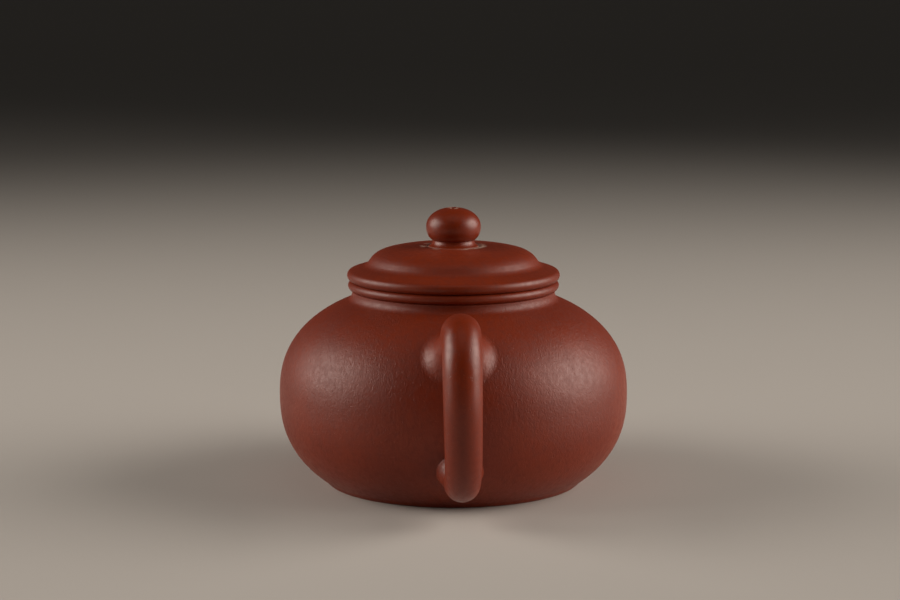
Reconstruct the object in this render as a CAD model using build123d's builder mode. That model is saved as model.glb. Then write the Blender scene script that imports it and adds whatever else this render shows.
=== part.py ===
from build123d import *
import math
import os

# A Yixing clay teapot: a squashed globe with a short neck, a lid that lifts off and turns,
# a rolled spout and a looped handle. Sizes are in millimetres.
# The origin is on the pot's axis at the table, +X points to the spout and +Z up.

# Globe of the body
belly_radius = 50.0
belly_height = 25.7
upper_rise = 31.33
lower_drop = 33.0
globe_power = 2.36
wall = 2.8
floor_drop = 21.6
floor_power = 3.2
profile_steps = 12

# Base
base_radius = 31.0
base_top = 4.5
base_rim_height = 1.3
base_hollow_height = 1.9
contact_rounding = 0.9

# Shoulder, neck and mouth
shoulder_joint_radius = 34.0
neck_foot_radius = 30.2
neck_radius = 29.0
neck_waist_height = 54.1
mouth_radius = 26.2
mouth_bead_radius = 30.15
mouth_bead_foot = 55.4
mouth_height = 58.1

# Lid
rim_inner_radius = 27.0
rim_foot_radius = 29.5
rim_bead_radius = 30.4
rim_top_radius = 29.1
rim_height = 3.1
flange_clearance = 0.15
flange_wall = 2.2
flange_depth = 8.5
flange_rounding = 0.7
dome_height = 67.95
lid_ceiling_height = 65.1
vent_radius = 1.1
# (radius, height) points between the rim and the knob, over the brim, the hollow step and the dome
lid_top_points = [(27.0, 61.85), (24.7, 62.95), (23.6, 64.4), (21.6, 66.05), (16.0, 67.6)]
lid_under_points = [(15.0, 64.6), (21.0, 62.2)]

# Knob
knob_foot_radius = 7.05
knob_neck_radius = 5.85
knob_neck_height = 69.65
knob_radius = 7.8
knob_half_height = 5.45
knob_power = 2.35
knob_centre_height = 73.5
crease_width = 0.6
crease_depth = 0.25

# Spout, as (x, height) points on its centre line and (sideways, lengthways) half widths
spout_line_points = [(40.0, 26.0), (50.5, 27.6), (58.4, 34.0), (62.6, 44.0), (66.3, 53.6), (69.2, 60.5)]
spout_outer_sizes = [(9.0, 10.4), (8.4, 9.6), (7.2, 7.7), (6.1, 6.3), (5.4, 5.4), (5.1, 5.1)]
spout_bore_sizes = [(7.0, 8.0), (6.5, 7.4), (5.2, 5.6), (4.3, 4.4), (3.8, 3.8), (3.6, 3.6)]
spout_tip_height = 57.35
spout_lip_rounding = 0.55

# Strainer ball behind the spout
port_radius = 7.0
port_height = 27.4
port_cut_depth = 11.2
strainer_centre_x = 45.2
strainer_wall = 1.8
strainer_collar_end = 48.6
strainer_hole_radius = 1.0
strainer_rings = [(1, 0.0), (6, 30.0), (12, 58.0)]

# Handle, as (distance from the axis, height) points on its centre line
handle_line_points = [
    (39.6, 40.6),
    (49.6, 49.3),
    (57.6, 52.1),
    (64.6, 48.6),
    (67.9, 39.6),
    (67.2, 27.6),
    (63.4, 17.2),
    (55.6, 11.2),
    (43.8, 12.6),
]
handle_top_radius = 5.35
handle_end_radius = 4.6
handle_steps = 14

# Clay worked round the joints. The spout's is a hollow curve of one radius, a hair clear of the wall.
# The handle's are (start, reach) along its centre line, and how far they spread at the start.
spout_root_rounding = 3.6
joint_gap = 0.04
upper_root_start, upper_root_reach = 0.025, 0.10
upper_root_spread = 5.0
lower_root_start, lower_root_reach = 0.975, -0.085
lower_root_spread = 3.4
root_steps = 5
root_film = 0.15


def squashed_points(centre_height, radius, rise, drop, power, z_start, z_end):
    """Points on a squashed ball's side between two heights, as (radius, height)."""
    points = []
    for step in range(profile_steps + 1):
        share = (1 - math.cos(math.pi * step / profile_steps)) / 2
        z = z_start + (z_end - z_start) * share
        half = rise if z > centre_height else drop
        reach = (abs(z - centre_height) / half) ** power
        points.append((radius * (1 - reach) ** (1 / power), z))
    return points


def globe_points(radius, rise, drop, power, z_start, z_end):
    return squashed_points(belly_height, radius, rise, drop, power, z_start, z_end)


def globe_height(r, radius, rise, power):
    """Height of the upper globe at a distance from the axis."""
    return belly_height + rise * (1 - (r / radius) ** power) ** (1 / power)


def outer_points(z_start, z_end):
    return globe_points(belly_radius, upper_rise, lower_drop, globe_power, z_start, z_end)


inner_radius = belly_radius - wall
inner_rise = upper_rise - wall
shoulder_outer_z = globe_height(shoulder_joint_radius, belly_radius, upper_rise, globe_power)
shoulder_inner_z = globe_height(shoulder_joint_radius, inner_radius, inner_rise, globe_power)
neck_foot_z = globe_height(neck_foot_radius, belly_radius, upper_rise, globe_power)
mouth_inner_z = globe_height(mouth_radius, inner_radius, inner_rise, globe_power)
flange_radius = mouth_radius - flange_clearance
flange_bore = flange_radius - flange_wall
rim_top_z = mouth_height + rim_height

os.makedirs("parts", exist_ok=True)


def globe_solid(gap):
    """The globe below the shoulder as one solid, grown by a gap, for trimming what is luted on to it."""
    points = globe_points(
        belly_radius + gap, upper_rise + gap, lower_drop + gap, globe_power, 0, shoulder_outer_z
    )
    with BuildPart() as solid:
        with BuildSketch(Plane.YZ):
            with BuildLine():
                side = Spline(*points)
                Polyline(side @ 1, (0, shoulder_outer_z), (0, 0), side @ 0)
            make_face()
        revolve(axis=Axis.Z)
    return solid.part


globe = globe_solid(0)
globe_and_gap = globe_solid(joint_gap)


# Body wall, beaten in from a cylinder, with the contact ring it stands on
with BuildPart() as body_wall:
    with BuildSketch(Plane.XZ):
        with BuildLine():
            outside = Spline(*outer_points(0, shoulder_outer_z))
            inside = Spline(
                *globe_points(inner_radius, inner_rise, floor_drop, globe_power, shoulder_inner_z, belly_height)
            )
            lower_inside = Spline(
                *globe_points(inner_radius, inner_rise, floor_drop, floor_power, belly_height, base_top)
            )
            Line(outside @ 1, inside @ 0)
            Polyline(lower_inside @ 1, (base_radius, base_top), (base_radius, 0), outside @ 0)
        make_face()
    revolve(axis=Axis.Z)
    fillet(body_wall.edges().filter_by(GeomType.CIRCLE).group_by(Axis.Z)[0].sort_by(SortBy.RADIUS)[-1],
           contact_rounding)
    with Locations(Plane(origin=(inner_radius, 0, port_height), z_dir=(1, 0, 0))):
        Cylinder(port_radius, port_cut_depth, mode=Mode.SUBTRACT)


# Base disc, pressed in slightly so that the pot stands on the ring round it
with BuildPart() as base_disc:
    with BuildSketch(Plane.XZ):
        with BuildLine():
            middle_height = base_hollow_height - (base_hollow_height - base_rim_height) / 4
            underside = ThreePointArc(
                (0, base_hollow_height), (base_radius / 2, middle_height), (base_radius, base_rim_height)
            )
            Polyline(underside @ 1, (base_radius, base_top), (0, base_top), underside @ 0)
        make_face()
    revolve(axis=Axis.Z)


# Shoulder disc, which closes the globe and leaves the mouth
with BuildPart() as shoulder_disc:
    with BuildSketch(Plane.XZ):
        with BuildLine():
            top = Spline(*outer_points(shoulder_outer_z, neck_foot_z))
            under = Spline(
                *globe_points(inner_radius, inner_rise, floor_drop, globe_power, mouth_inner_z, shoulder_inner_z)
            )
            Polyline(top @ 1, (mouth_radius, neck_foot_z), under @ 0)
            Line(under @ 1, top @ 0)
        make_face()
    revolve(axis=Axis.Z)


# Neck ring, with a small hollow curve down to the shoulder
with BuildPart() as neck_ring:
    with BuildSketch(Plane.XZ):
        with BuildLine():
            hollow = TangentArc((neck_radius, neck_waist_height), (neck_foot_radius, neck_foot_z), tangent=(0, -1))
            Polyline(
                hollow @ 0,
                (neck_radius, mouth_bead_foot),
                (mouth_radius, mouth_bead_foot),
                (mouth_radius, neck_foot_z),
                hollow @ 1,
            )
        make_face()
    revolve(axis=Axis.Z)


# Mouth bead, whose flat top seats the lid
with BuildPart() as mouth_bead:
    with BuildSketch(Plane.XZ):
        with BuildLine():
            bead_middle = (mouth_bead_foot + mouth_height) / 2
            bead = ThreePointArc(
                (neck_radius, mouth_bead_foot), (mouth_bead_radius, bead_middle), (rim_foot_radius, mouth_height)
            )
            Polyline(bead @ 1, (mouth_radius, mouth_height), (mouth_radius, mouth_bead_foot), bead @ 0)
        make_face()
    revolve(axis=Axis.Z)


# Lid flange, the upright ring that drops into the mouth
with BuildPart() as lid_flange:
    with BuildSketch(Plane.XZ):
        with Locations((flange_bore, mouth_height)):
            Rectangle(flange_wall, flange_depth, align=(Align.MIN, Align.MAX))
    revolve(axis=Axis.Z)
    fillet(lid_flange.edges().group_by(Axis.Z)[0], flange_rounding)


# Lid rim, the bead that matches the one round the mouth
with BuildPart() as lid_rim:
    with BuildSketch(Plane.XZ):
        with BuildLine():
            rim_middle = mouth_height + rim_height / 2
            rim = ThreePointArc(
                (rim_foot_radius, mouth_height), (rim_bead_radius, rim_middle), (rim_top_radius, rim_top_z)
            )
            Polyline(rim @ 1, (rim_inner_radius, rim_top_z), (rim_inner_radius, mouth_height), rim @ 0)
        make_face()
    revolve(axis=Axis.Z)


# Lid plate: a sloping brim, a hollow step and a low dome, hollow underneath, with the vent
with BuildPart() as lid_plate:
    with BuildSketch(Plane.XZ):
        with BuildLine():
            dome = Spline(
                (rim_top_radius, rim_top_z),
                *lid_top_points,
                (knob_foot_radius + crease_width, dome_height),
            )
            Polyline(
                dome @ 1,
                (knob_foot_radius + crease_width / 2, dome_height - crease_depth),
                (knob_foot_radius, dome_height),
                (vent_radius, dome_height),
                (vent_radius, lid_ceiling_height),
            )
            ceiling = Spline(
                (vent_radius, lid_ceiling_height),
                *lid_under_points,
                (flange_bore, mouth_height),
                tangents=((1, 0), (0.1, -1)),
            )
            Polyline(
                ceiling @ 1,
                (rim_inner_radius, mouth_height),
                (rim_inner_radius, rim_top_z),
                dome @ 0,
            )
        make_face()
    revolve(axis=Axis.Z)


# Knob foot, the flared collar that the knob stands on
with BuildPart() as knob_foot:
    with BuildSketch(Plane.XZ):
        with BuildLine():
            flare = TangentArc(
                (knob_foot_radius, dome_height), (knob_neck_radius, knob_neck_height), tangent=(-1, 0)
            )
            Polyline(
                flare @ 1,
                (vent_radius, knob_neck_height),
                (vent_radius, dome_height),
                flare @ 0,
            )
        make_face()
    revolve(axis=Axis.Z)


# Knob, a flattened ball pierced by the vent
with BuildPart() as knob:
    with BuildSketch(Plane.XZ):
        with BuildLine():
            crown_z = knob_centre_height + knob_half_height * (
                1 - (vent_radius / knob_radius) ** knob_power
            ) ** (1 / knob_power)
            ball = Spline(
                *squashed_points(
                    knob_centre_height, knob_radius, knob_half_height, knob_half_height, knob_power,
                    knob_neck_height, crown_z,
                )
            )
            Polyline(ball @ 1, (vent_radius, knob_neck_height), ball @ 0)
        make_face()
    revolve(axis=Axis.Z)


def section_plane(line, share):
    """Plane across a centre line, with its first direction sideways."""
    return Plane(origin=line @ share, x_dir=(0, 1, 0), z_dir=line % share)


def rolled_solid(line, sizes):
    """Clay rolled along a centre line, with half widths given at even steps along it."""
    with BuildPart() as solid:
        for step, (sideways, lengthways) in enumerate(sizes):
            with BuildSketch(section_plane(line, step / (len(sizes) - 1))):
                Ellipse(sideways, lengthways)
        loft()
    return solid.part


def grown(sizes, gap):
    return [(sideways + gap, lengthways + gap) for sideways, lengthways in sizes]


with BuildLine(Plane.XZ) as spout_centre:
    Spline(*spout_line_points)
spout_line = spout_centre.edges()[0]
spout_core = rolled_solid(spout_line, spout_outer_sizes)
spout_core_and_gap = rolled_solid(spout_line, grown(spout_outer_sizes, joint_gap))
spout_bore = rolled_solid(spout_line, spout_bore_sizes)


# Spout, one and a half bends, level with the mouth at its tip
with BuildPart() as spout:
    add(spout_core)
    add(globe, mode=Mode.SUBTRACT)
    split(bisect_by=Plane.XY.offset(spout_tip_height), keep=Keep.BOTTOM)
    add(spout_bore, mode=Mode.SUBTRACT)
    fillet(spout.faces().sort_by(Axis.Z)[-1].edges(), spout_lip_rounding)


# Clay worked round the foot of the spout, a hollow curve from the wall on to the spout
with BuildPart() as spout_root:
    add(globe)
    add(spout_core)
    fillet(spout_root.edges(Select.NEW), spout_root_rounding)
    add(globe_and_gap, mode=Mode.SUBTRACT)
    add(spout_core_and_gap, mode=Mode.SUBTRACT)


# Strainer ball, a pierced dome set into the wall behind the spout
with BuildPart() as spout_strainer:
    with BuildSketch(Plane.XZ):
        with Locations((strainer_centre_x, port_height)):
            Circle(port_radius)
            Rectangle(
                strainer_collar_end - strainer_centre_x, 2 * port_radius, align=(Align.MIN, Align.CENTER)
            )
            Circle(port_radius - strainer_wall, mode=Mode.SUBTRACT)
            Rectangle(
                2 * port_radius, 2 * (port_radius - strainer_wall),
                align=(Align.MIN, Align.CENTER), mode=Mode.SUBTRACT,
            )
        with Locations((strainer_collar_end, port_height)):
            Rectangle(2 * port_radius, 4 * port_radius, align=(Align.MIN, Align.CENTER), mode=Mode.SUBTRACT)
        with Locations((strainer_centre_x, port_height)):
            Rectangle(4 * port_radius, 2 * port_radius, align=(Align.CENTER, Align.MAX), mode=Mode.SUBTRACT)
    revolve(axis=Axis((0, 0, port_height), (1, 0, 0)))
    for count, tilt in strainer_rings:
        for index in range(count):
            turn = 2 * math.pi * index / count
            lean = math.radians(tilt)
            direction = (
                -math.cos(lean), math.sin(lean) * math.cos(turn), math.sin(lean) * math.sin(turn)
            )
            with Locations(Plane(origin=(strainer_centre_x, 0, port_height), z_dir=direction)):
                Cylinder(
                    strainer_hole_radius, 2 * port_radius,
                    align=(Align.CENTER, Align.CENTER, Align.MIN), mode=Mode.SUBTRACT,
                )


def handle_radius(share):
    """The handle thins towards its lower end."""
    return handle_top_radius + (handle_end_radius - handle_top_radius) * share ** 2


with BuildLine(Plane.XZ) as handle_centre:
    Spline(*[(-distance, height) for distance, height in handle_line_points])
handle_line = handle_centre.edges()[0]
handle_sizes = [(handle_radius(step / handle_steps),) * 2 for step in range(handle_steps + 1)]
handle_core = rolled_solid(handle_line, handle_sizes)


# Handle, one rolled strip bent into an ear
with BuildPart() as handle:
    add(handle_core)
    add(globe, mode=Mode.SUBTRACT)


def root_sections(start, reach, spread):
    """Sections of the clay worked round a handle end: (share of the centre line, radius)."""
    sections = []
    for step in range(root_steps + 1):
        along = step / root_steps
        share = start + reach * along
        sections.append((share, handle_radius(share) + spread * (1 - along) ** 2 + root_film))
    return sections


# Clay worked round the upper end of the handle
with BuildPart() as handle_upper_root:
    for share, radius in root_sections(upper_root_start, upper_root_reach, upper_root_spread):
        with BuildSketch(section_plane(handle_line, share)):
            Circle(radius)
    loft()
    add(globe, mode=Mode.SUBTRACT)
    add(handle_core, mode=Mode.SUBTRACT)


# Clay worked round the lower end of the handle
with BuildPart() as handle_lower_root:
    for share, radius in root_sections(lower_root_start, lower_root_reach, lower_root_spread):
        with BuildSketch(section_plane(handle_line, share)):
            Circle(radius)
    loft()
    add(globe, mode=Mode.SUBTRACT)
    add(handle_core, mode=Mode.SUBTRACT)


pieces = {
    "body_wall": body_wall,
    "base_disc": base_disc,
    "shoulder_disc": shoulder_disc,
    "neck_ring": neck_ring,
    "mouth_bead": mouth_bead,
    "spout": spout,
    "spout_root": spout_root,
    "spout_strainer": spout_strainer,
    "handle": handle,
    "handle_upper_root": handle_upper_root,
    "handle_lower_root": handle_lower_root,
    "lid_flange": lid_flange,
    "lid_rim": lid_rim,
    "lid_plate": lid_plate,
    "knob_foot": knob_foot,
    "knob": knob,
}

for name, piece in pieces.items():
    piece.part.label = name
    export_step(piece.part, f"parts/{name}.step")
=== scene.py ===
import math
import bpy
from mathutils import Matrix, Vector


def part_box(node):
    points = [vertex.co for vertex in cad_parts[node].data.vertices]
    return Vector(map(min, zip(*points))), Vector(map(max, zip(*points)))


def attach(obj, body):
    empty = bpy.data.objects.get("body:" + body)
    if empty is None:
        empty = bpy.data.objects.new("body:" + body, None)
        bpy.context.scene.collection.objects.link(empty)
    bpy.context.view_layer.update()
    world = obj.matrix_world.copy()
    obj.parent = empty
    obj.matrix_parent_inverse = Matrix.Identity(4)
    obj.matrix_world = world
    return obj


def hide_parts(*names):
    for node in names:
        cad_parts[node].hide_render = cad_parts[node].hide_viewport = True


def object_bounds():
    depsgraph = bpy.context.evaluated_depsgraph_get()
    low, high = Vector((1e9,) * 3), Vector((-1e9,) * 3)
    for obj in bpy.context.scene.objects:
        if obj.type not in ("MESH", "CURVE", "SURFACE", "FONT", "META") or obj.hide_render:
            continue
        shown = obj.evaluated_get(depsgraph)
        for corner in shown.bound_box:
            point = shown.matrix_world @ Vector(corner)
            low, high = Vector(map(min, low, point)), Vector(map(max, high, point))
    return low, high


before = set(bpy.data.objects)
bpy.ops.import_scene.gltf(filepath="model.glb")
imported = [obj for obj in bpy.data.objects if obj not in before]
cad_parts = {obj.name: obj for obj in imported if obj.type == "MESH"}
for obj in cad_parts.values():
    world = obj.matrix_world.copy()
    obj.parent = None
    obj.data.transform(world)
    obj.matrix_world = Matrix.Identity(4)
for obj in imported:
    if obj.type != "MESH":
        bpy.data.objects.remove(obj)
cadLow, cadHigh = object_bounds()
mm = 0.001
print("frame loaded:", len(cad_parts), "nodes")


# ---------- small helpers ----------

def deselectAll():
    if bpy.context.object and bpy.context.object.mode != "OBJECT":
        bpy.ops.object.mode_set(mode="OBJECT")
    bpy.ops.object.select_all(action="DESELECT")


def pick(piece):
    deselectAll()
    piece.select_set(True)
    bpy.context.view_layer.objects.active = piece


def roundBox(node):
    # radius, bottom and top of a round CAD node, in millimetres
    low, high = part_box(node)
    return high[1] / mm, low[2] / mm, high[2] / mm


def placeIn(node, across, up, aside=0.0):
    # a point in a CAD node's box, as shares of its width and height, and millimetres to one side
    low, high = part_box(node)
    return Vector((low[0] + (high[0] - low[0]) * across, aside * mm, low[2] + (high[2] - low[2]) * up))


def easeIn(share):
    # a share kept from 0 to 1, and slow at both ends
    t = min(max(share, 0), 1)
    return t * t * (3 - 2 * t)


def applyModifiers(piece):
    pick(piece)
    for modifier in list(piece.modifiers):
        bpy.ops.object.modifier_apply(modifier=modifier.name)


def faceOutwards(piece):
    pick(piece)
    bpy.ops.object.transform_apply(location=True, rotation=True, scale=True)
    bpy.ops.object.mode_set(mode="EDIT")
    bpy.ops.mesh.select_all(action="SELECT")
    bpy.ops.mesh.remove_doubles(threshold=0.01 * mm)
    bpy.ops.mesh.normals_make_consistent(inside=False)
    bpy.ops.object.mode_set(mode="OBJECT")


def finishPiece(piece, body, nodes, material, sharpAngle=42):
    faceOutwards(piece)
    bpy.ops.object.shade_smooth_by_angle(angle=math.radians(sharpAngle))
    piece.data.materials.clear()
    piece.data.materials.append(material)
    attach(piece, body)
    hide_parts(*nodes)
    print("made", piece.name, len(piece.data.polygons), "faces")
    return piece


# ---------- lines that the profiles are drawn from ----------

def arcLine(centre, radius, startAngle, endAngle, steps):
    # points round an arc, in a profile's (radius, height) plane, angles in degrees
    points = []
    for step in range(steps + 1):
        angle = math.radians(startAngle + (endAngle - startAngle) * step / steps)
        points.append((centre[0] + radius * math.cos(angle), centre[1] + radius * math.sin(angle)))
    return points


def curveLine(points, steps):
    # a smooth line through a few points
    padded = [points[0]] + list(points) + [points[-1]]
    line = []
    for a, b, c, d in zip(padded, padded[1:], padded[2:], padded[3:]):
        for step in range(steps):
            t = step / steps
            line.append(tuple(
                0.5 * (2 * q + (r - p) * t + (2 * p - 5 * q + 4 * r - s) * t ** 2
                       + (3 * q - p - 3 * r + s) * t ** 3)
                for p, q, r, s in zip(a, b, c, d)
            ))
    line.append(tuple(points[-1]))
    return line


def globeLine(globe, startHeight, endHeight, steps):
    # points up or down the side of a squashed globe
    def lean(height):
        half = globe["rise"] if height > globe["belt"] else globe["drop"]
        share = (height - globe["belt"]) / half
        return math.copysign(math.asin(abs(share) ** (globe["power"] / 2)), share)

    first, last = lean(startHeight), lean(endHeight)
    points = []
    for step in range(steps + 1):
        angle = first + (last - first) * step / steps
        half = globe["rise"] if angle > 0 else globe["drop"]
        height = globe["belt"] + math.copysign(half * abs(math.sin(angle)) ** (2 / globe["power"]), angle)
        points.append((globe["radius"] * math.cos(angle) ** (2 / globe["power"]), height))
    return points


# ---------- ways of forming clay ----------

def turnPiece(name, profile, segments, closed=True):
    # a ring is drawn out along a profile of (radius, height) points in millimetres
    deselectAll()
    radius, height = profile[0]
    bpy.ops.mesh.primitive_circle_add(vertices=segments, radius=radius * mm, location=(0, 0, height * mm))
    piece = bpy.context.object
    piece.name = piece.data.name = name
    bpy.ops.object.mode_set(mode="EDIT")
    bpy.ops.mesh.select_all(action="SELECT")
    for nextRadius, nextHeight in profile[1:]:
        rise = (nextHeight - height) * mm
        grow = nextRadius / radius
        bpy.ops.mesh.extrude_region_move(TRANSFORM_OT_translate={"value": (0, 0, rise)})
        bpy.ops.transform.resize(value=(grow, grow, 1), center_override=(0, 0, nextHeight * mm))
        radius, height = nextRadius, nextHeight
    bpy.ops.mesh.select_all(action="SELECT")
    bpy.ops.mesh.remove_doubles(threshold=0.005 * mm)
    if not closed:
        bpy.ops.mesh.fill_holes(sides=0)
        bpy.ops.mesh.select_all(action="DESELECT")
        bpy.ops.mesh.select_face_by_sides(number=4, type="GREATER")
        bpy.ops.mesh.poke()
    bpy.ops.object.mode_set(mode="OBJECT")
    return piece


def guideLine(name, points, twist):
    # a smooth line through points, for a rolled piece to be bent along
    data = bpy.data.curves.new(name, "CURVE")
    data.dimensions = "3D"
    data.resolution_u = 24
    data.twist_mode = twist
    spline = data.splines.new("BEZIER")
    spline.bezier_points.add(len(points) - 1)
    for knot, point in zip(spline.bezier_points, points):
        knot.co = point
        knot.handle_left_type = knot.handle_right_type = "AUTO"
    guide = bpy.data.objects.new(name, data)
    bpy.context.scene.collection.objects.link(guide)
    bpy.context.view_layer.update()
    return guide


def linePoints(guide):
    sampled = bpy.data.meshes.new_from_object(guide)
    points = [v.co.copy() for v in sampled.vertices]
    bpy.data.meshes.remove(sampled)
    return points


def rollPiece(name, stations, sides):
    # a straight roll along X, from stations of (along, sideways, upright, tilt), in millimetres and degrees
    deselectAll()
    along, sideways, upright, tilt = stations[0]
    bpy.ops.mesh.primitive_circle_add(
        vertices=sides, radius=1 * mm, location=(along * mm, 0, 0), rotation=(0, math.pi / 2, 0)
    )
    piece = bpy.context.object
    piece.name = piece.data.name = name
    bpy.ops.object.transform_apply(location=True, rotation=True, scale=True)
    bpy.ops.object.mode_set(mode="EDIT")
    bpy.ops.mesh.select_all(action="SELECT")
    centre = (along * mm, 0, 0)
    bpy.ops.transform.resize(value=(1, sideways, upright), center_override=centre)
    if tilt:
        bpy.ops.transform.rotate(value=math.radians(tilt), orient_axis="Y", center_override=centre)
    for nextAlong, nextSideways, nextUpright, nextTilt in stations[1:]:
        centre = (nextAlong * mm, 0, 0)
        growSideways, growUpright = nextSideways / sideways, nextUpright / upright
        bpy.ops.mesh.extrude_region_move(
            TRANSFORM_OT_translate={"value": ((nextAlong - along) * mm, 0, 0)}
        )
        bpy.ops.transform.resize(value=(growSideways, growSideways, growUpright), center_override=centre)
        if nextTilt != tilt:
            bpy.ops.transform.rotate(
                value=math.radians(nextTilt - tilt), orient_axis="Y", center_override=centre
            )
        along, sideways, upright, tilt = nextAlong, nextSideways, nextUpright, nextTilt
    bpy.ops.object.mode_set(mode="OBJECT")
    return piece


def ringGroup(piece, name, ring, sides, weight=1.0):
    # the points of one ring of a straight roll, counted from its start
    group = piece.vertex_groups.new(name=name)
    group.add(list(range(ring * sides, (ring + 1) * sides)), weight, "REPLACE")


def bendAlong(piece, guide):
    bend = piece.modifiers.new("bend", "CURVE")
    bend.object = guide
    bend.deform_axis = "POS_X"


def settleRing(piece, group, height, wall):
    # lays a ring at a height off the wall
    settle = piece.modifiers.new(group, "SHRINKWRAP")
    settle.target = wall
    settle.wrap_method = "NEAREST_SURFACEPOINT"
    settle.wrap_mode = "ABOVE_SURFACE"
    settle.offset = height * mm
    settle.vertex_group = group


def hollowRoot(hollow, steps):
    # a hollow curve from under the wall up on to a roll, as (height off the wall, spread)
    shape = [(-1.0, hollow), (-0.15, hollow + 0.5)]
    for step in range(steps + 1):
        angle = math.radians(90 * (1 - step / steps))
        shape.append((hollow * (1 - math.sin(angle)), hollow * (1 - math.cos(angle))))
    return shape


def rootRings(foot, direction, sideways, upright, shape):
    # the rings of a root, as (height off the wall, station)
    return [
        (height, (foot + direction * height, sideways + spread, upright + spread, 0))
        for height, spread in shape
    ]


# ---------- clay: shader groups shared by every material ----------

def addNode(tree, kind, inputs=None, **settings):
    made = tree.nodes.new(kind)
    for key, value in settings.items():
        setattr(made, key, value)
    for key, value in (inputs or {}).items():
        if isinstance(value, bpy.types.NodeSocket):
            tree.links.new(value, made.inputs[key])
        else:
            made.inputs[key].default_value = value
    return made


def mathNode(tree, operation, first, second=0.0, clamp=False):
    made = addNode(tree, "ShaderNodeMath", {0: first, 1: second}, operation=operation, use_clamp=clamp)
    return made.outputs[0]


def noiseNode(tree, place, scale, detail):
    return addNode(tree, "ShaderNodeTexNoise", {"Vector": place, "Scale": scale, "Detail": detail}).outputs[0]


def mixColour(tree, amount, first, second):
    mixed = addNode(tree, "ShaderNodeMix", {0: amount, 6: first, 7: second}, data_type="RGBA")
    return mixed.outputs[2]


def remap(tree, value, fromLow, fromHigh, toLow, toHigh):
    spread = addNode(
        tree, "ShaderNodeMapRange",
        {"Value": value, "From Min": fromLow, "From Max": fromHigh, "To Min": toLow, "To Max": toHigh},
        clamp=True, interpolation_type="SMOOTHSTEP",
    )
    return spread.outputs[0]


def newGroup(name, inputs, outputs):
    tree = bpy.data.node_groups.new(name, "ShaderNodeTree")
    for socket, kind, value in inputs:
        made = tree.interface.new_socket(socket, in_out="INPUT", socket_type=kind)
        if value is not None:
            made.default_value = value
    for socket, kind in outputs:
        tree.interface.new_socket(socket, in_out="OUTPUT", socket_type=kind)
    return tree, tree.nodes.new("NodeGroupInput").outputs, tree.nodes.new("NodeGroupOutput").inputs


def makeWrap():
    # lays a pattern round the pot, drawn out up and down as a paddle leaves it
    tree, given, result = newGroup(
        "wrapRound",
        [("Vector", "NodeSocketVector", None), ("Centre Height", "NodeSocketFloat", 0.0257),
         ("Radius", "NodeSocketFloat", 0.045), ("Stretch", "NodeSocketFloat", 2.6)],
        [("Vector", "NodeSocketVector")],
    )
    parts = addNode(tree, "ShaderNodeSeparateXYZ", {0: given["Vector"]}).outputs
    flat = addNode(tree, "ShaderNodeCombineXYZ", {0: parts[0], 1: parts[1], 2: 0.0}).outputs[0]
    unit = addNode(tree, "ShaderNodeVectorMath", {0: flat}, operation="NORMALIZE").outputs[0]
    ring = addNode(tree, "ShaderNodeVectorMath", {0: unit, "Scale": given["Radius"]}, operation="SCALE")
    reach = addNode(tree, "ShaderNodeVectorMath", {0: flat}, operation="LENGTH").outputs["Value"]
    rise = mathNode(tree, "SUBTRACT", parts[2], given["Centre Height"])
    lean = mathNode(tree, "ARCTAN2", rise, reach)
    up = mathNode(tree, "DIVIDE", mathNode(tree, "MULTIPLY", lean, given["Radius"]), given["Stretch"])
    ringParts = addNode(tree, "ShaderNodeSeparateXYZ", {0: ring.outputs[0]}).outputs
    wrapped = addNode(tree, "ShaderNodeCombineXYZ", {0: ringParts[0], 1: ringParts[1], 2: up}).outputs[0]
    tree.links.new(wrapped, result["Vector"])
    return tree


def makeRelief():
    # the skin's relief: paddled ripples, fine sand grain and a few pits
    tree, given, result = newGroup(
        "clayRelief",
        [("Vector", "NodeSocketVector", None), ("Wrapped", "NodeSocketVector", None),
         ("Ripple", "NodeSocketFloat", 1.0), ("Ripple Scale", "NodeSocketFloat", 900.0),
         ("Grain", "NodeSocketFloat", 0.2), ("Pits", "NodeSocketFloat", 0.3)],
        [("Height", "NodeSocketFloat")],
    )
    ripple = addNode(
        tree, "ShaderNodeTexNoise",
        {"Vector": given["Wrapped"], "Scale": given["Ripple Scale"], "Detail": 2.0, "Roughness": 0.5,
         "Distortion": 0.9},
    ).outputs[0]
    patches = noiseNode(tree, given["Vector"], 70.0, 2.0)
    rippleHere = mathNode(tree, "MULTIPLY", given["Ripple"], remap(tree, patches, 0.3, 0.7, 0.55, 1.0))
    grain = addNode(
        tree, "ShaderNodeTexNoise",
        {"Vector": given["Vector"], "Scale": 3200.0, "Detail": 3.0, "Roughness": 0.6},
    ).outputs[0]
    spots = noiseNode(tree, given["Vector"], 1300.0, 1.0)
    pits = mathNode(tree, "MULTIPLY", remap(tree, spots, 0.66, 0.76, 0.0, -1.0), given["Pits"])
    height = mathNode(tree, "ADD", mathNode(tree, "MULTIPLY", ripple, rippleHere),
                      mathNode(tree, "MULTIPLY", grain, given["Grain"]))
    tree.links.new(mathNode(tree, "ADD", height, pits), result["Height"])
    return tree


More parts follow.
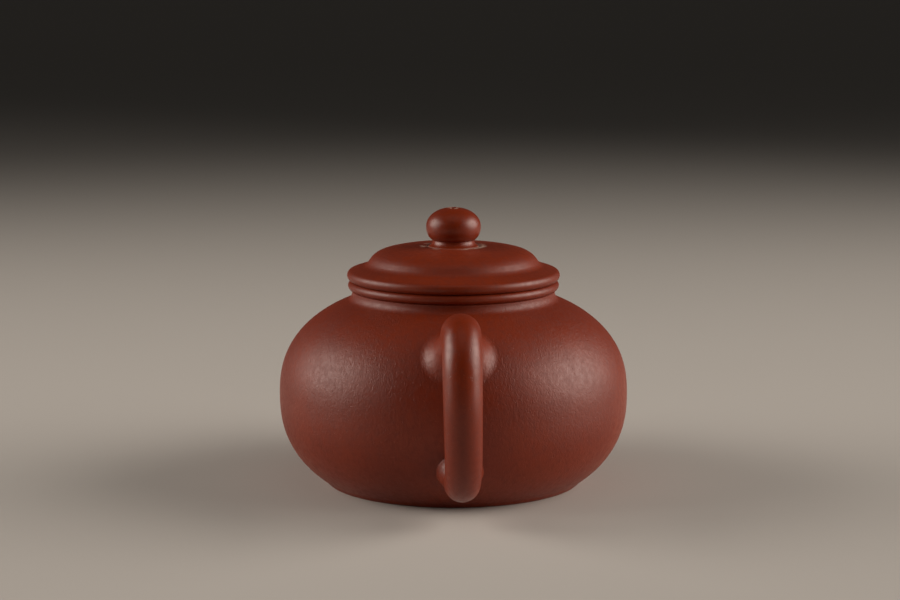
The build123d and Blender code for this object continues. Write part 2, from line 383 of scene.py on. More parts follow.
def makeTint():
    # colour through the clay: slow clouding, fine mottling, dark and pale sand
    tree, given, result = newGroup(
        "clayTint",
        [("Vector", "NodeSocketVector", None), ("Clay", "NodeSocketColor", None),
         ("Deep", "NodeSocketColor", None), ("Sand", "NodeSocketColor", None),
         ("Roughness", "NodeSocketFloat", 0.45), ("Sand Amount", "NodeSocketFloat", 0.35)],
        [("Color", "NodeSocketColor"), ("Roughness", "NodeSocketFloat")],
    )
    cloud = noiseNode(tree, given["Vector"], 38.0, 4.0)
    mottle = noiseNode(tree, given["Vector"], 620.0, 3.0)
    fine = noiseNode(tree, given["Vector"], 2600.0, 2.0)
    clouded = mixColour(tree, remap(tree, cloud, 0.35, 0.68, 0.0, 0.5), given["Clay"], given["Deep"])
    mottled = mixColour(tree, remap(tree, mottle, 0.42, 0.75, 0.0, 0.4), clouded, given["Deep"])
    paleSand = mathNode(tree, "MULTIPLY", remap(tree, fine, 0.66, 0.74, 0.0, 1.0), given["Sand Amount"])
    darkSand = mathNode(tree, "MULTIPLY", remap(tree, fine, 0.36, 0.28, 0.0, 1.0), given["Sand Amount"])
    sanded = mixColour(tree, paleSand, mottled, given["Sand"])
    tree.links.new(mixColour(tree, darkSand, sanded, given["Deep"]), result["Color"])
    shine = mathNode(tree, "ADD", given["Roughness"], remap(tree, mottle, 0.3, 0.7, -0.05, 0.05))
    clouding = remap(tree, cloud, 0.3, 0.7, -0.03, 0.03)
    tree.links.new(mathNode(tree, "ADD", shine, clouding), result["Roughness"])
    return tree


def makeRingMask():
    # a patchy ring round the axis, above a height
    tree, given, result = newGroup(
        "residueRing",
        [("Vector", "NodeSocketVector", None), ("Radius", "NodeSocketFloat", 0.0073),
         ("Width", "NodeSocketFloat", 0.0003), ("Bottom", "NodeSocketFloat", 0.0),
         ("Patch Scale", "NodeSocketFloat", 500.0), ("Patch Low", "NodeSocketFloat", 0.35)],
        [("Mask", "NodeSocketFloat")],
    )
    parts = addNode(tree, "ShaderNodeSeparateXYZ", {0: given["Vector"]}).outputs
    flat = addNode(tree, "ShaderNodeCombineXYZ", {0: parts[0], 1: parts[1], 2: 0.0}).outputs[0]
    reach = addNode(tree, "ShaderNodeVectorMath", {0: flat}, operation="LENGTH").outputs["Value"]
    off = mathNode(tree, "ABSOLUTE", mathNode(tree, "SUBTRACT", reach, given["Radius"]))
    band = mathNode(tree, "SUBTRACT", 1.0, mathNode(tree, "DIVIDE", off, given["Width"]), clamp=True)
    above = mathNode(tree, "GREATER_THAN", parts[2], given["Bottom"])
    broken = noiseNode(tree, given["Vector"], given["Patch Scale"], 3.0)
    patchHigh = mathNode(tree, "ADD", given["Patch Low"], 0.22)
    patchy = mathNode(tree, "MULTIPLY", band, remap(tree, broken, given["Patch Low"], patchHigh, 0.0, 1.0))
    tree.links.new(mathNode(tree, "MULTIPLY", patchy, above), result["Mask"])
    return tree


wrapGroup, reliefGroup, tintGroup, residueGroup = makeWrap(), makeRelief(), makeTint(), makeRingMask()

clayColours = {
    "clay": (0.208, 0.0215, 0.0022, 1),
    "deep": (0.125, 0.0105, 0.0010, 1),
    "sand": (0.36, 0.10, 0.05, 1),
    "residue": (0.55, 0.38, 0.30, 1),
}


def makeClay(name, values):
    material = bpy.data.materials.new(name)
    material.use_nodes = True
    tree = material.node_tree
    shader = tree.nodes["Principled BSDF"]
    place = addNode(tree, "ShaderNodeTexCoord").outputs["Object"]
    wrapped = addNode(
        tree, "ShaderNodeGroup",
        {"Vector": place, "Centre Height": values["centre"] * mm, "Stretch": values["stretch"]},
        node_tree=wrapGroup,
    )
    relief = addNode(
        tree, "ShaderNodeGroup",
        {"Vector": place, "Wrapped": wrapped.outputs[0], "Ripple": values["ripple"],
         "Ripple Scale": values["rippleScale"], "Grain": values["grain"], "Pits": values["pits"]},
        node_tree=reliefGroup,
    )
    burnished = values.get("burnished")
    if burnished:
        # a rolled piece is burnished away from the wall, and takes the wall's ripples where it meets it
        skin = addNode(tree, "ShaderNodeAttribute", attribute_name="burnish").outputs["Fac"]
        near = mathNode(tree, "SUBTRACT", 1.0, skin, clamp=True)
        ripple = remap(tree, near, 0.0, 1.0, burnished["ripple"], values["ripple"])
        grain = remap(tree, near, 0.0, 1.0, burnished["grain"], values["grain"])
        tree.links.new(ripple, relief.inputs["Ripple"])
        tree.links.new(grain, relief.inputs["Grain"])
    tint = addNode(
        tree, "ShaderNodeGroup",
        {"Vector": place, "Clay": clayColours["clay"], "Deep": clayColours["deep"],
         "Sand": clayColours["sand"], "Roughness": values["roughness"], "Sand Amount": values["sand"]},
        node_tree=tintGroup,
    )
    colour = tint.outputs["Color"]
    for radius, width, bottom, patchScale, patchLow in values.get("residue", []):
        ring = addNode(
            tree, "ShaderNodeGroup",
            {"Vector": place, "Radius": radius * mm, "Width": width * mm, "Bottom": bottom * mm,
             "Patch Scale": patchScale, "Patch Low": patchLow},
            node_tree=residueGroup,
        )
        colour = mixColour(tree, ring.outputs[0], colour, clayColours["residue"])
    tree.links.new(colour, shader.inputs["Base Color"])
    roughness = tint.outputs["Roughness"]
    if burnished:
        smoothing = mathNode(tree, "MULTIPLY", skin, burnished["smoothing"])
        roughness = mathNode(tree, "SUBTRACT", roughness, smoothing)
    tree.links.new(roughness, shader.inputs["Roughness"])
    bump = addNode(
        tree, "ShaderNodeBump",
        {"Height": relief.outputs[0], "Strength": 1.0, "Distance": values["depth"] * mm},
    )
    tree.links.new(bump.outputs[0], shader.inputs["Normal"])
    shader.inputs["IOR"].default_value = values["ior"]
    shader.inputs["Specular IOR Level"].default_value = values["gloss"]
    return material


clayValues = {
    "centre": 25.7, "stretch": 1.45, "ripple": 1.0, "rippleScale": 1450.0, "grain": 0.16, "pits": 0.25,
    "roughness": 0.46, "sand": 0.35, "depth": 0.12, "gloss": 0.42, "ior": 1.5,
}
bodyClay = makeClay("bodyClay", clayValues)
print("body clay mixed")


# ---------- pot: base, wall, shoulder and neck as one skin ----------

wallRadius, footHeight, _ = roundBox("body_wall")
baseRadius, baseRim, baseTop = roundBox("base_disc")
shoulderRadius, _, shoulderTop = roundBox("shoulder_disc")
neckFootRadius, _, neckTop = roundBox("neck_ring")
flangeRadius, flangeBottom, seatHeight = roundBox("lid_flange")

potValues = {
    "segments": 192,
    "belt": 25.7,          # height of the widest circle
    "rise": 31.33,         # how far the globe would close above and below it
    "drop": 33.0,
    "power": 2.36,         # squareness of the globe
    "wall": 2.8,
    "floorDrop": 21.6,
    "floorPower": 3.2,
    # the pressed-in base, as (radius, height over its rim)
    "hollow": [(0.8, 0.6), (10, 0.55), (20, 0.4), (27, 0.15)],
    "contactInner": 31.9,  # the ring that the pot stands on
    "contactOuter": 36.0,
    "globeFrom": 0.95,     # height where the globe takes over from the contact ring
    "neckFlare": 1.2,
    "neckHollow": 2.4,
    "neckSlope": 247.5,    # where the neck's hollow curve leaves the shoulder, in degrees
    "mouthClearance": 0.15,
    "globeSteps": 56,
    "neckSteps": 10,
    "innerSteps": 24,
    "floorSteps": 22,
    "unevenness": 0.14,    # how far a paddled wall wanders inwards
    "unevenSize": 22.0,
    "pressedFrom": 2.0,    # height where it starts to wander, and over what height it fades in and out
    "pressedFadeIn": 8.0,
    "pressedFadeOut": 6.0,
    "pressedInside": 4.0,
    "portSides": 64,
    "portDepth": 16.0,
    "portAhead": 1.0,
}
globe = {"radius": wallRadius, "belt": potValues["belt"], "rise": potValues["rise"],
         "drop": potValues["drop"], "power": potValues["power"]}
innerGlobe = dict(globe, radius=wallRadius - potValues["wall"], rise=potValues["rise"] - potValues["wall"])
innerFloor = dict(innerGlobe, drop=potValues["floorDrop"], power=potValues["floorPower"])


def globeHeight(shape, radius):
    # how high the upper half of a squashed globe is at a radius
    share = 1 - (radius / shape["radius"]) ** shape["power"]
    return shape["belt"] + shape["rise"] * share ** (1 / shape["power"])


def offGlobe(point):
    # how far a point in metres stands off the globe, in millimetres
    reach = math.hypot(point[0], point[1]) / mm / globe["radius"]
    height = point[2] / mm - globe["belt"]
    half = globe["rise"] if height > 0 else globe["drop"]
    share = (reach ** globe["power"] + abs(height / half) ** globe["power"]) ** (1 / globe["power"])
    return (share - 1) * math.hypot(reach * globe["radius"], height) / max(share, 0.01)


def makePot():
    v = potValues
    neckRadius = neckFootRadius - v["neckFlare"]
    mouthRadius = flangeRadius + v["mouthClearance"]
    innerShoulder = globeHeight(innerGlobe, mouthRadius)
    profile = [(radius, baseRim + rise) for radius, rise in v["hollow"]]
    profile += [(baseRadius - 0.6, baseRim + 0.02), (baseRadius, baseRim - 0.25), (baseRadius + 0.15, 0.55)]
    profile += [(v["contactInner"] - 0.45, 0.12), (v["contactInner"], footHeight)]
    contactOuter = v["contactOuter"]
    profile += [(contactOuter, footHeight), (contactOuter + 0.35, 0.1), (contactOuter + 0.72, 0.38)]
    # the neck's hollow curve leaves the shoulder where both slope by the same angle
    neckSlope = v["neckSlope"]
    footRadius = neckRadius + v["neckHollow"] * (1 + math.cos(math.radians(neckSlope)))
    footTop = globeHeight(globe, footRadius)
    hollowHeight = footTop - v["neckHollow"] * math.sin(math.radians(neckSlope))
    profile += globeLine(globe, v["globeFrom"], footTop, v["globeSteps"])
    neckCentre = (neckRadius + v["neckHollow"], hollowHeight)
    profile += arcLine(neckCentre, v["neckHollow"], neckSlope, 180, v["neckSteps"])[1:]
    profile += [(neckRadius, neckTop - 0.25), (neckRadius - 0.25, neckTop), (mouthRadius, neckTop)]
    profile += [(mouthRadius, innerShoulder + 0.5), (mouthRadius + 0.4, innerShoulder - 0.1)]
    profile += globeLine(innerGlobe, innerShoulder - 0.35, innerGlobe["belt"] + 0.3, v["innerSteps"])
    profile += globeLine(innerFloor, innerFloor["belt"] - 0.3, baseTop + 0.35, v["floorSteps"])
    profile += [(22, baseTop + 0.12), (19, baseTop), (10, baseTop), (0.8, baseTop)]
    pot = turnPiece("potWall", profile, v["segments"], closed=False)
    faceOutwards(pot)

    # the paddled wall isn't quite true
    pressed = pot.vertex_groups.new(name="pressed")
    for vertex in pot.data.vertices:
        height = vertex.co.z / mm
        reach = math.hypot(vertex.co.x, vertex.co.y) / mm
        fadeIn = min(1, max(0, (height - v["pressedFrom"]) / v["pressedFadeIn"]))
        fadeOut = min(1, max(0, (shoulderTop - height) / v["pressedFadeOut"]))
        if reach > shoulderRadius - v["pressedInside"]:
            pressed.add([vertex.index], fadeIn * fadeOut, "REPLACE")
    texture = bpy.data.textures.new("paddled", "CLOUDS")
    texture.noise_scale = v["unevenSize"] * mm
    texture.noise_depth = 1
    uneven = pot.modifiers.new("uneven", "DISPLACE")
    uneven.texture = texture
    uneven.texture_coords = "LOCAL"
    uneven.mid_level = 1
    uneven.strength = v["unevenness"] * mm
    uneven.vertex_group = "pressed"
    applyModifiers(pot)

    # the port behind the spout
    portLow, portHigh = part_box("spout_strainer")
    portRadius = (portHigh[1] - portLow[1]) / 2
    deselectAll()
    bpy.ops.mesh.primitive_cylinder_add(
        vertices=v["portSides"], radius=portRadius, depth=v["portDepth"] * mm, rotation=(0, math.pi / 2, 0),
        location=(portHigh[0] + v["portAhead"] * mm, 0, (portLow[2] + portHigh[2]) / 2),
    )
    cutter = bpy.context.object
    port = pot.modifiers.new("port", "BOOLEAN")
    port.operation = "DIFFERENCE"
    port.object = cutter
    port.solver = "EXACT"
    applyModifiers(pot)
    bpy.data.objects.remove(cutter)
    nodes = ["body_wall", "base_disc", "shoulder_disc", "neck_ring"]
    return finishPiece(pot, "pot", nodes, bodyClay)


potWall = makePot()


# ---------- mouth bead ----------

rimClay = makeClay("rimClay", dict(clayValues, ripple=0.4, rippleScale=1700.0, depth=0.05, roughness=0.42,
                                   centre=45.0, stretch=1.5))

mouthValues = {
    "segments": 192,
    "steps": 12,
    "wrap": 80.0,          # degrees the bead is rounded over, up and down
    "sunk": 0.35,          # how far the bead's centre lies inside the neck
    "lip": 0.35,
}


def makeMouthBead():
    v = mouthValues
    beadRadius, bottom, top = roundBox("mouth_bead")
    mouthRadius = flangeRadius + potValues["mouthClearance"]
    neckRadius = neckFootRadius - potValues["neckFlare"]
    half = (top - bottom) / 2
    middle = bottom + half
    bulge = beadRadius - neckRadius + v["sunk"]
    profile = [(mouthRadius, bottom), (neckRadius - 0.4, bottom)]
    for step in range(v["steps"] + 1):
        angle = math.radians(v["wrap"] * (2 * step / v["steps"] - 1))
        profile.append((neckRadius - v["sunk"] + bulge * math.cos(angle), middle + half * math.sin(angle)))
    profile += [(neckRadius - 0.9, top), (mouthRadius + v["lip"], top)]
    profile += [(mouthRadius + 0.1, top - 0.1), (mouthRadius, top - v["lip"]), (mouthRadius, bottom)]
    bead = turnPiece("mouthBead", profile, v["segments"])
    return finishPiece(bead, "pot", ["mouth_bead"], rimClay)


makeMouthBead()


# ---------- spout ----------

rolledClay = makeClay("rolledClay", dict(
    clayValues, burnished={"ripple": 0.12, "grain": 0.064, "smoothing": 0.08}
))

spoutValues = {
    "sides": 72,
    "line": [(-0.146, 0.229), (0.214, 0.268), (0.485, 0.426), (0.629, 0.672), (0.756, 0.908), (0.847, 1.078)],
    # outside half widths, sideways and upright, at even steps from the wall to the tip
    "outside": [(8.6, 9.8), (8.2, 9.2), (7.4, 7.9), (6.5, 6.8), (5.8, 5.9), (5.35, 5.35), (5.15, 5.15)],
    "bore": [(6.7, 7.4), (6.3, 6.9), (5.5, 5.9), (4.8, 4.9), (4.1, 4.1), (3.75, 3.75), (3.6, 3.6)],
    "rootHollow": 4.6,
    "rootSteps": 12,
    "rootTilt": 22.0,      # degrees a ring leans back at the wall, fading out by this share of the length
    "rootTurn": 0.42,
    "levelTilt": 20.0,     # degrees it leans on at the lip, fading in from this share
    "levelFrom": 0.72,
    "levelEase": 1.5,
    "stations": 30,
    "lipFrom": 0.975,
    "lipRise": 0.8,
    "lipSteps": 8,
    "boreEnd": 0.02,
    "burnishReach": 6.0,
}


def blendSizes(sizes, share, softness=0.35):
    # a size between even steps of a list, eased a little at each step
    place = min(max(share, 0), 1) * (len(sizes) - 1)
    low = min(int(place), len(sizes) - 2)
    t = place - low
    t = easeIn(t) * softness + t * (1 - softness)
    return [a + (b - a) * t for a, b in zip(sizes[low], sizes[low + 1])]


def crossing(points):
    # how far along a line, in millimetres, it comes out of the globe
    run = 0
    for here, there in zip(points, points[1:]):
        if offGlobe(here) < 0 <= offGlobe(there):
            share = offGlobe(here) / (offGlobe(here) - offGlobe(there))
            return (run + (there - here).length * share) / mm
        run += (there - here).length
    return 0


def paintBurnish(piece, distance):
    # 0 where clay meets the wall, 1 where it is fully burnished
    burnish = piece.data.attributes.new("burnish", "FLOAT", "POINT")
    for vertex, value in zip(piece.data.vertices, burnish.data):
        value.value = easeIn(offGlobe(vertex.co) / distance)


def makeSpout():
    v = spoutValues
    guide = guideLine("spoutLine", [placeIn("spout", *shares) for shares in v["line"]], "Z_UP")
    points = linePoints(guide)
    foot = crossing(points)
    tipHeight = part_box("spout")[1][2]
    run, tip = 0, 0
    for here, there in zip(points, points[1:]):
        if here.z < tipHeight <= there.z:
            tip = (run + (there - here).length * (tipHeight - here.z) / (there.z - here.z)) / mm
        run += (there - here).length
    length = tip - foot
    sideways, upright = blendSizes(v["outside"], 0)

    def tiltAt(share):
        # upright rings at the wall, square ones along the bend, a level one at the lip
        leaningBack = 1 - easeIn(share / v["rootTurn"])
        leaningOn = max(0, (share - v["levelFrom"]) / (1 - v["levelFrom"])) ** v["levelEase"]
        return v["levelTilt"] * leaningOn - v["rootTilt"] * leaningBack

    rings = rootRings(foot, 1, sideways, upright, hollowRoot(v["rootHollow"], v["rootSteps"]))
    stations = [
        (along, across, up, tiltAt((along - foot) / length))
        for height, (along, across, up, _) in rings
    ]
    start = v["rootHollow"] / length
    for step in range(1, v["stations"] + 1):
        share = start + (v["lipFrom"] - start) * step / v["stations"]
        stations.append((foot + length * share, *blendSizes(v["outside"], share), tiltAt(share)))
    # round the lip over and go back down the bore
    outer, inner = v["outside"][-1][0], v["bore"][-1][0]
    middle, half = (outer + inner) / 2, (outer - inner) / 2
    for step in range(1, v["lipSteps"]):
        angle = math.radians(180 * step / v["lipSteps"])
        size = middle + half * math.cos(angle)
        along = foot + length * v["lipFrom"] + v["lipRise"] * math.sin(angle)
        stations.append((along, size, size, v["levelTilt"]))
    for step in range(v["stations"] + 1):
        share = v["lipFrom"] * (1 - step / v["stations"]) - v["boreEnd"] * step / v["stations"]
        stations.append((foot + length * share, *blendSizes(v["bore"], share), tiltAt(share)))
    spout = rollPiece("spoutTube", stations, v["sides"])
    for index, (height, station) in enumerate(rings):
        ringGroup(spout, "flare%d" % index, index, v["sides"], 1 - easeIn(height / v["rootHollow"]))
    pick(spout)
    bpy.ops.object.mode_set(mode="EDIT")
    bpy.ops.mesh.select_all(action="DESELECT")
    bpy.ops.mesh.select_mode(type="EDGE")
    bpy.ops.mesh.select_non_manifold(extend=False)
    bpy.ops.mesh.bridge_edge_loops()
    bpy.ops.object.mode_set(mode="OBJECT")
    bendAlong(spout, guide)
    for index, (height, station) in enumerate(rings):
        settleRing(spout, "flare%d" % index, height, potWall)
    applyModifiers(spout)
    bpy.data.objects.remove(guide)
    paintBurnish(spout, v["burnishReach"])
    return finishPiece(spout, "pot", ["spout", "spout_root"], rolledClay)


makeSpout()


# ---------- handle ----------

handleValues = {
    "sides": 72,
    # from the upper end to the lower, with how far the strip strays to one side
    "line": [(0.035, 0.677, 0), (0.322, 0.845, 0), (0.552, 0.899, 0), (0.752, 0.832, 0),
             (0.8385, 0.657, -0.05), (0.823, 0.425, -0.25), (0.716, 0.224, -0.45), (0.494, 0.108, -0.4),
             (0.156, 0.135, 0)],
    "topRadius": 5.35,
    "endRadius": 4.6,
    # both ends spread on to the wall, as (height off the wall, spread)
    "upperShape": [(-1.1, 5.4), (-0.12, 6.3), (0.0, 5.4), (0.06, 4.9), (0.2, 4.35), (0.5, 3.75), (1.0, 3.1),
                   (1.75, 2.4), (2.8, 1.65), (4.2, 0.9), (6.0, 0.3), (7.8, 0.0)],
    "lowerShape": [(-1.1, 1.6), (-0.1, 2.3), (0.0, 1.95), (0.25, 1.75), (0.8, 1.6), (1.4, 1.4), (2.0, 1.12),
                   (2.5, 0.8), (3.0, 0.5), (3.5, 0.24), (4.1, 0.07), (4.8, 0.0)],
    "stations": 56,
    "burnishReach": 4.0,
}


def makeHandle():
    v = handleValues
    line = [placeIn("handle", 1 - across, up, aside) for across, up, aside in v["line"]]
    guide = guideLine("handleLine", line, "MINIMUM")
    points = linePoints(guide)
    total = sum((b - a).length for a, b in zip(points, points[1:])) / mm
    upper = crossing(points)
    lower = total - crossing(points[::-1])
    length = lower - upper

    def radiusAt(share):
        return v["topRadius"] + (v["endRadius"] - v["topRadius"]) * share ** 2

    upperRings = rootRings(upper, 1, v["topRadius"], v["topRadius"], v["upperShape"])
    lowerRings = rootRings(lower, -1, v["endRadius"], v["endRadius"], v["lowerShape"])
    stations = [station for height, station in upperRings]
    first, last = v["upperShape"][-1][0] / length, 1 - v["lowerShape"][-1][0] / length
    for step in range(1, v["stations"]):
        share = first + (last - first) * step / v["stations"]
        stations.append((upper + length * share, radiusAt(share), radiusAt(share), 0))
    stations += [station for height, station in lowerRings[::-1]]
    handle = rollPiece("handleLoop", stations, v["sides"])
    for index in range(len(upperRings)):
        ringGroup(handle, "upper%d" % index, index, v["sides"])
    for index in range(len(lowerRings)):
        ringGroup(handle, "lower%d" % index, len(stations) - 1 - index, v["sides"])
    pick(handle)
    bpy.ops.object.mode_set(mode="EDIT")
    bpy.ops.mesh.select_all(action="SELECT")
    bpy.ops.mesh.fill_holes(sides=0)
    bpy.ops.object.mode_set(mode="OBJECT")
    bendAlong(handle, guide)
    for end, rings in (("upper", upperRings), ("lower", lowerRings)):
        for index, (height, station) in enumerate(rings):
            settleRing(handle, "%s%d" % (end, index), height, potWall)
    applyModifiers(handle)
    bpy.data.objects.remove(guide)
    paintBurnish(handle, v["burnishReach"])
    return finishPiece(
        handle, "pot", ["handle", "handle_upper_root", "handle_lower_root"], rolledClay
    )


makeHandle()


# ---------- lid ----------

lidClay = makeClay("lidClay", dict(clayValues, ripple=0.8, rippleScale=1700.0, depth=0.085, centre=40.0,
                                   stretch=1.8, residue=[(7.5, 0.5, 67.0, 700.0, 0.16),
                                                         (8.6, 1.3, 66.9, 260.0, 0.42)]))
innerClay = makeClay("innerClay", dict(clayValues, ripple=0.3, roughness=0.6, gloss=0.35, depth=0.06))

knobValues = {
    "segments": 96,
    "steps": 30,
    "half": 5.45,
    "crownPower": 2.08,
    "underPower": 2.35,
    "centre": 73.5,
    "vent": 1.1,
    "ventRound": 0.45,
    "ventSteps": 5,
    # the foot flares out on to the lid, as (radius, height over the lid)
    "foot": [(7.05, 0.0), (6.85, 0.14), (6.45, 0.42), (6.12, 0.85), (5.95, 1.3), (5.9, 1.7)],
}

lidValues = {
    "segments": 192,
    "rimSteps": 14,
    "rimInner": 27.0,
    # the crease round the knob's foot, as (out from the foot, depth)
    "crease": [(0.75, 0.0), (0.55, 0.08), (0.3, 0.25), (0.1, 0.15), (0.0, 0.0)],
    # (radius, height) points over the brim, the hollow step and the dome, then under the lid
    "step": [(27.2, 61.82), (25.6, 62.35), (24.6, 63.05), (23.95, 63.9), (23.2, 64.85), (22.0, 65.8),
             (20.0, 66.7), (16.0, 67.55), (12.0, 67.85)],
    "ceiling": [(23.85, 58.1), (23.4, 59.8), (22.2, 61.6), (19.6, 63.3), (15.0, 64.6), (8.0, 65.05),
                (1.1, 65.1)],
    "rimRound": 1.55,
    "rimFrom": -80,        # degrees round the bead where it starts, and where the brim leaves it
    "rimMeets": 71,
    "flangeRound": 0.7,
    "flangeSteps": 5,
}


def makeLid():
    v = lidValues
    _, plateBottom, plateTop = roundBox("lid_plate")
    rimRadius, rimBottom, rimTop = roundBox("lid_rim")
    footRadius = roundBox("knob_foot")[0]
    ventRadius = knobValues["vent"]
    rimInner = v["rimInner"]
    half = (rimTop - rimBottom) / 2
    middle = rimBottom + half
    beadCentre = rimRadius - v["rimRound"]
    meetAngle = math.radians(v["rimMeets"])
    meeting = (beadCentre + v["rimRound"] * math.cos(meetAngle), middle + half * math.sin(meetAngle))
    tuck = [(rimInner, meeting[1] - 0.5), (meeting[0] - 0.6, meeting[1] - 0.4)]
    crease = [(footRadius + out, plateTop - depth) for out, depth in v["crease"]]
    profile = [(rimInner, plateBottom)] + tuck + curveLine([meeting] + v["step"] + crease[:1], 5)
    profile += crease[1:] + [(ventRadius, plateTop)]
    profile += curveLine(v["ceiling"][::-1], 4)
    profile += [(rimInner, plateBottom)]
    plate = turnPiece("lidPlate", profile, v["segments"])
    finishPiece(plate, "lid", ["lid_plate"], lidClay)

    rim = [(rimInner, rimBottom), (beadCentre - 0.1, rimBottom)]
    for step in range(v["rimSteps"] + 1):
        angle = math.radians(v["rimFrom"] + (v["rimMeets"] - v["rimFrom"]) * step / v["rimSteps"])
        rim.append((beadCentre + v["rimRound"] * math.cos(angle), middle + half * math.sin(angle)))
    rim += tuck[::-1] + [(rimInner, rimBottom)]
    finishPiece(turnPiece("lidRim", rim, v["segments"]), "lid", ["lid_rim"], rimClay)

    flangeInner, rounding = v["ceiling"][0][0], v["flangeRound"]
    turn = flangeBottom + rounding
    flange = [(flangeInner, seatHeight), (flangeInner, turn)]
    flange += arcLine((flangeInner + rounding, turn), rounding, 180, 270, v["flangeSteps"])
    flange += arcLine((flangeRadius - rounding, turn), rounding, 270, 360, v["flangeSteps"])
    flange += [(flangeRadius, seatHeight), (flangeInner, seatHeight)]
    ring = turnPiece("lidFlange", flange, v["segments"])
    finishPiece(ring, "lid_seat", ["lid_flange"], innerClay)


makeLid()


# ---------- knob ----------

knobClay = makeClay("knobClay", dict(clayValues, ripple=0.2, grain=0.12, pits=0.6, depth=0.06, roughness=0.36,
                                     centre=73.4, sand=0.25, residue=[(1.7, 0.6, 78.0, 900.0, 0.42)]))


def makeKnob():
    v = knobValues
    radius, bottom, _ = roundBox("knob")

    def ballPoint(lean):
        power = v["crownPower"] if lean > 0 else v["underPower"]
        reach = radius * abs(math.cos(lean)) ** (2 / power)
        return reach, v["centre"] + math.copysign(v["half"] * abs(math.sin(lean)) ** (2 / power), lean)

    startAngle = -math.asin(((v["centre"] - bottom) / v["half"]) ** (v["underPower"] / 2))
    endAngle = math.acos(((v["vent"] + v["ventRound"]) / radius) ** (v["crownPower"] / 2))
    profile = [(v["vent"], bottom)]
    for step in range(v["steps"] + 1):
        profile.append(ballPoint(startAngle + (endAngle - startAngle) * step / v["steps"]))
    lastHeight = profile[-1][1]
    ventCentre = (v["vent"] + v["ventRound"], lastHeight - v["ventRound"])
    profile += arcLine(ventCentre, v["ventRound"], 90, 180, v["ventSteps"])[1:]
    profile.append((v["vent"], bottom))
    finishPiece(turnPiece("knobBall", profile, v["segments"]), "lid", ["knob"], knobClay)

    _, footBottom, footTop = roundBox("knob_foot")
    line = curveLine([(reach, footBottom + rise) for reach, rise in v["foot"]], 5)
    foot = [(v["vent"], footBottom)] + line + [(v["vent"], footTop), (v["vent"], footBottom)]
    finishPiece(turnPiece("knobFoot", foot, v["segments"]), "lid", ["knob_foot"], knobClay)


makeKnob()

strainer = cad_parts["spout_strainer"]
strainer.data.materials.clear()
strainer.data.materials.append(innerClay)
print("strainer finished")


# ---------- floor, light and camera ----------

studioValues = {
    "floorSize": 16.0,
    "floorColour": (0.52, 0.49, 0.455, 1),
    "floorShade": 0.97,
    "floorRoughness": 0.7,
    "floorGloss": 0.2,
    "world": (0.70, 0.66, 0.61, 1),
    "worldStrength": 0.04,
    # softboxes stand at these angles from the camera's side, seen from above
    "leftAngle": 94.0,
    "rightAngle": 92.0,
    "softboxHeight": 21.0,
    "softboxDistance": 1.1,
    "leftSize": (1.0, 0.80),
    "rightSize": (1.15, 0.92),
    "leftPower": 2.9,
    "rightPower": 4.4,
    "topHeight": 78,
    "topDistance": 1.6,
    "topSize": (1.4, 1.4),
    "topPower": 0.35,
    "spread": 75.0,
    "lightColour": (1.0, 0.92, 0.84),
}


def makeStudio():
    v = studioValues
    deselectAll()
    bpy.ops.mesh.primitive_plane_add(size=v["floorSize"], location=(0, 0, 0))
    floor = bpy.context.object
    floor.name = "studioFloor"
    material = bpy.data.materials.new("studioFloor")
    material.use_nodes = True
    tree = material.node_tree
    shader = tree.nodes["Principled BSDF"]
    place = addNode(tree, "ShaderNodeTexCoord").outputs["Object"]
    faint = noiseNode(tree, place, 3.0, 3.0)
    low = tuple(c * v["floorShade"] for c in v["floorColour"][:3]) + (1,)
    tree.links.new(mixColour(tree, faint, low, v["floorColour"]), shader.inputs["Base Color"])
    shader.inputs["Roughness"].default_value = v["floorRoughness"]
    shader.inputs["Specular IOR Level"].default_value = v["floorGloss"]
    floor.data.materials.append(material)
    world = bpy.data.worlds.new("studioWorld")
    world.use_nodes = True
    world.node_tree.nodes["Background"].inputs[0].default_value = v["world"]
    world.node_tree.nodes["Background"].inputs[1].default_value = v["worldStrength"]
    bpy.context.scene.world = world


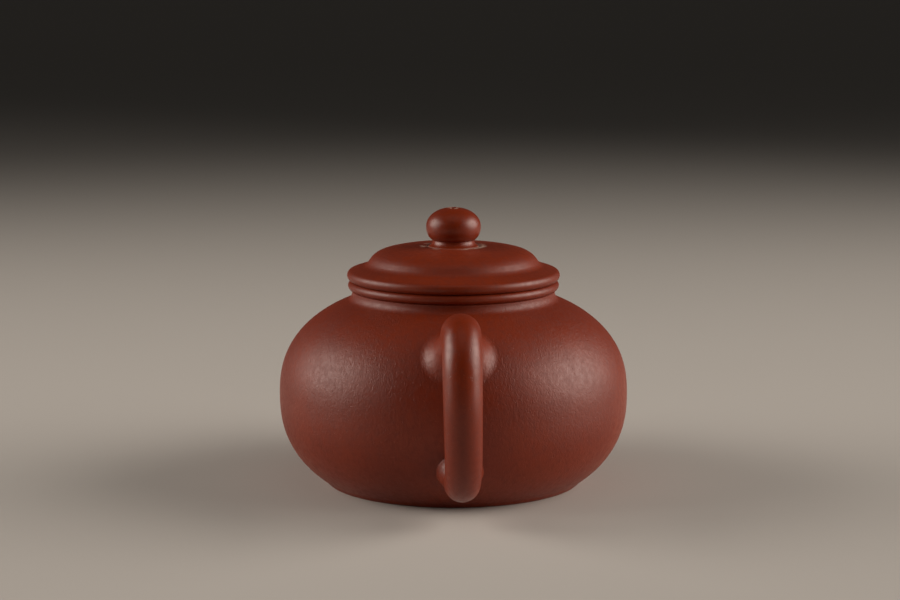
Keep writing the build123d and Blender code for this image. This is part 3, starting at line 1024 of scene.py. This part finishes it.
def addSoftbox(name, direction, height, distance, size, power, target):
    # direction is the side it stands on, in degrees round the pot from +X
    data = bpy.data.lights.new(name, "AREA")
    data.shape = "RECTANGLE"
    data.size, data.size_y = size
    data.energy = power
    data.spread = math.radians(studioValues["spread"])
    data.color = studioValues["lightColour"]
    light = bpy.data.objects.new(name, data)
    bpy.context.scene.collection.objects.link(light)
    turn, lift = math.radians(direction), math.radians(height)
    outwards = Vector((math.cos(turn) * math.cos(lift), math.sin(turn) * math.cos(lift), math.sin(lift)))
    light.location = target + distance * outwards
    light.rotation_euler = (target - light.location).to_track_quat("-Z", "Y").to_euler()


cameraValues = {
    "lens": 96.1,
    "sensor": 36.0,
    "distance": 680.0,      # on the floor, from the pot's axis
    "height": 158.7,
    "pitch": 8.9,
    "yaw": 178.0,           # side of the pot it stands on, round from +X
    "aside": 0.083,
}


def makeCamera():
    v = cameraValues
    data = bpy.data.cameras.new("camera")
    data.lens, data.sensor_width = v["lens"], v["sensor"]
    data.clip_start, data.clip_end = 0.01, 100
    camera = bpy.data.objects.new("camera", data)
    bpy.context.scene.collection.objects.link(camera)
    turn = math.radians(v["yaw"])
    away = v["distance"] * mm
    camera.location = (away * math.cos(turn), away * math.sin(turn), v["height"] * mm)
    heading = turn + math.pi + math.radians(v["aside"])
    camera.rotation_euler = (math.pi / 2 - math.radians(v["pitch"]), 0, heading - math.pi / 2)
    bpy.context.scene.camera = camera


def lightPot():
    v = studioValues
    aim = Vector((0, 0, (cadLow[2] + cadHigh[2]) / 2))
    side = cameraValues["yaw"]
    addSoftbox("leftSoftbox", side - v["leftAngle"], v["softboxHeight"], v["softboxDistance"],
               v["leftSize"], v["leftPower"], aim)
    addSoftbox("rightSoftbox", side + v["rightAngle"], v["softboxHeight"], v["softboxDistance"],
               v["rightSize"], v["rightPower"], aim)
    addSoftbox("topSoftbox", side, v["topHeight"], v["topDistance"], v["topSize"], v["topPower"], aim)


makeStudio()
makeCamera()
lightPot()
bpy.context.scene.view_settings.view_transform = "Standard"
print("studio ready")
